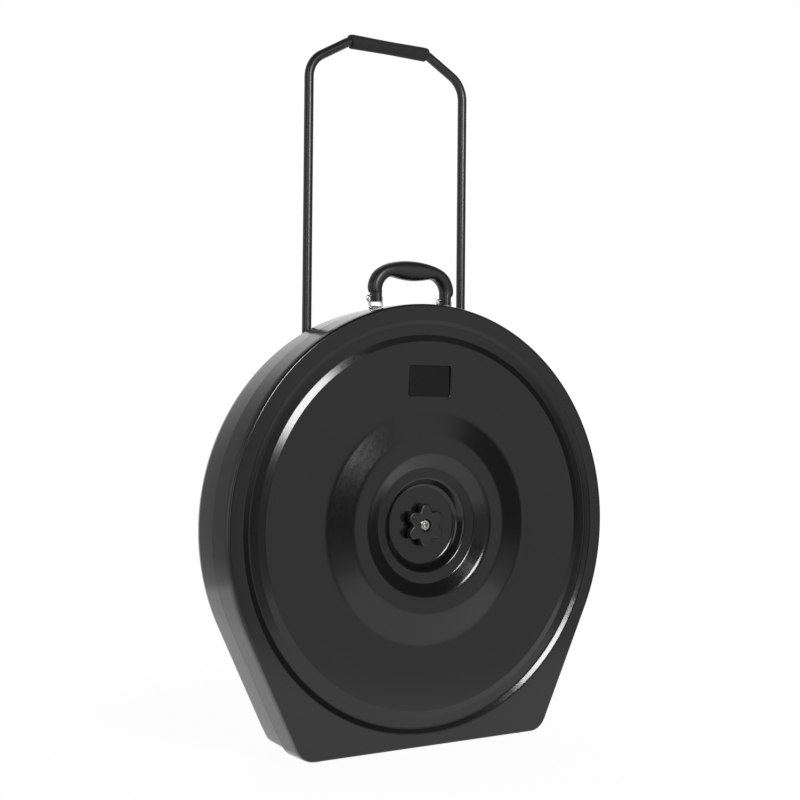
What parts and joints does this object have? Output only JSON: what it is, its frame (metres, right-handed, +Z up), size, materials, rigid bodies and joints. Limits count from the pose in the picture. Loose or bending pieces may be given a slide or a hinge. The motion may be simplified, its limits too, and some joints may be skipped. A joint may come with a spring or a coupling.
{
  "type": "cymbal case",
  "caption": "Wheeled moulded hard case for cymbals: round ringed lid and rear shell drawn together by a star knob, carry handle, telescoping trolley handle.",
  "frame": {"origin": "on the floor under the middle of the case's bounding box", "axes": "+Z up, +Y from the lid to the rear, +X to the right seen from the front"},
  "size_m": [0.623, 0.136, 1.0194],
  "materials": {
    "shell": "satin moulded plastic with a fine pebble grain",
    "black_plastic": "satin injection moulded plastic",
    "plate": "smooth bare plate",
    "zinc_steel": "zinc plated",
    "chrome": "bright plated wire",
    "painted_tube": "satin black powder coat",
    "grip_foam": "closed cell foam",
    "rubber": "matt moulded rubber",
    "tyre": "matt moulded rubber",
    "pad_foam": "soft open cell foam",
    "felt": "pressed wool felt",
    "nylon": "natural nylon"
  },
  "bodies": {
    "case": {"rear_shell": "shell", "centre_bolt": "zinc_steel", "rear_bolt_washer": "zinc_steel", "backing_plate": "zinc_steel", "lock_nut": "zinc_steel", "bolt_sleeve": "nylon", "felt_washer_rear": "felt", "foam_pad_rear": "pad_foam", "handle_bracket_left": "zinc_steel", "handle_bracket_right": "zinc_steel", "guide_tube_left": "painted_tube", "guide_tube_right": "painted_tube", "guide_collar_left": "black_plastic", "guide_collar_right": "black_plastic", "guide_end_cap_left": "black_plastic", "guide_end_cap_right": "black_plastic", "guide_clamp_upper_left": "zinc_steel", "guide_clamp_upper_right": "zinc_steel", "guide_clamp_lower_left": "zinc_steel", "guide_clamp_lower_right": "zinc_steel", "wheel_axle_left": "zinc_steel", "wheel_axle_right": "zinc_steel", "bracket_rivet_left_front": "zinc_steel", "bracket_rivet_left_rear": "zinc_steel", "bracket_rivet_right_front": "zinc_steel", "bracket_rivet_right_rear": "zinc_steel", "guide_clamp_upper_left_rivet_left": "zinc_steel", "guide_clamp_upper_left_rivet_right": "zinc_steel", "guide_clamp_upper_right_rivet_left": "zinc_steel", "guide_clamp_upper_right_rivet_right": "zinc_steel", "guide_clamp_lower_left_rivet_left": "zinc_steel", "guide_clamp_lower_left_rivet_right": "zinc_steel", "guide_clamp_lower_right_rivet_left": "zinc_steel", "guide_clamp_lower_right_rivet_right": "zinc_steel"},
    "lid": {"front_shell": "shell", "badge_plate": "plate", "foam_pad_front": "pad_foam", "felt_washer_front": "felt", "foot_left": "rubber", "foot_right": "rubber"},
    "knob_washer": {"knob_washer": "zinc_steel"},
    "knob": {"star_knob": "black_plastic", "knob_insert": "zinc_steel"},
    "ring_left": {"handle_ring_left": "chrome"},
    "ring_right": {"handle_ring_right": "chrome"},
    "carry_handle": {"carry_handle": "black_plastic"},
    "trolley": {"trolley_tube": "painted_tube", "trolley_grip": "grip_foam", "tube_stop_left": "black_plastic", "tube_stop_right": "black_plastic"},
    "wheel_left": {"wheel_hub_left": "black_plastic", "wheel_tyre_left": "tyre"},
    "wheel_right": {"wheel_hub_right": "black_plastic", "wheel_tyre_right": "tyre"}
  },
  "joints": [
    {"name": "lid_slide", "type": "slide", "parent": "case", "child": "lid", "axis": [0, -1, 0], "range_m": [0, 0.12]},
    {"name": "knob_slide", "type": "slide", "parent": "lid", "child": "knob_washer", "axis": [0, -1, 0], "range_m": [0, 0.0051]},
    {"name": "knob_spin", "type": "hinge", "parent": "knob_washer", "child": "knob", "pos_m": [0, -0.0451, 0.3112], "axis": [0, -1, 0], "range_deg": [0, 1440]},
    {"name": "ring_left_swing", "type": "hinge", "parent": "case", "child": "ring_left", "pos_m": [-0.05912, -0.0115, 0.61637], "axis": [1, 0, 0], "range_deg": [-30, 30]},
    {"name": "ring_right_swing", "type": "hinge", "parent": "case", "child": "ring_right", "pos_m": [0.05912, -0.0115, 0.61637], "axis": [1, 0, 0], "range_deg": [-30, 30]},
    {"name": "handle_swing", "type": "hinge", "parent": "ring_left", "child": "carry_handle", "pos_m": [0, -0.0115, 0.63347], "axis": [1, 0, 0], "range_deg": [-40, 40]},
    {"name": "trolley_slide", "type": "slide", "parent": "case", "child": "trolley", "axis": [0, 0, 1], "range_m": [-0.33, 0]},
    {"name": "wheel_left_spin", "type": "hinge", "parent": "case", "child": "wheel_left", "pos_m": [-0.16197, 0.036, 0.032], "axis": [1, 0, 0], "continuous": true},
    {"name": "wheel_right_spin", "type": "hinge", "parent": "case", "child": "wheel_right", "pos_m": [0.16197, 0.036, 0.032], "axis": [1, 0, 0], "continuous": true}
  ],
  "couplings": [
    {"joint": "knob_slide", "follows": "knob_spin", "m_per_rad": 0.00019894},
    {"joint": "ring_right_swing", "follows": "ring_left_swing", "ratio": 1}
  ]
}
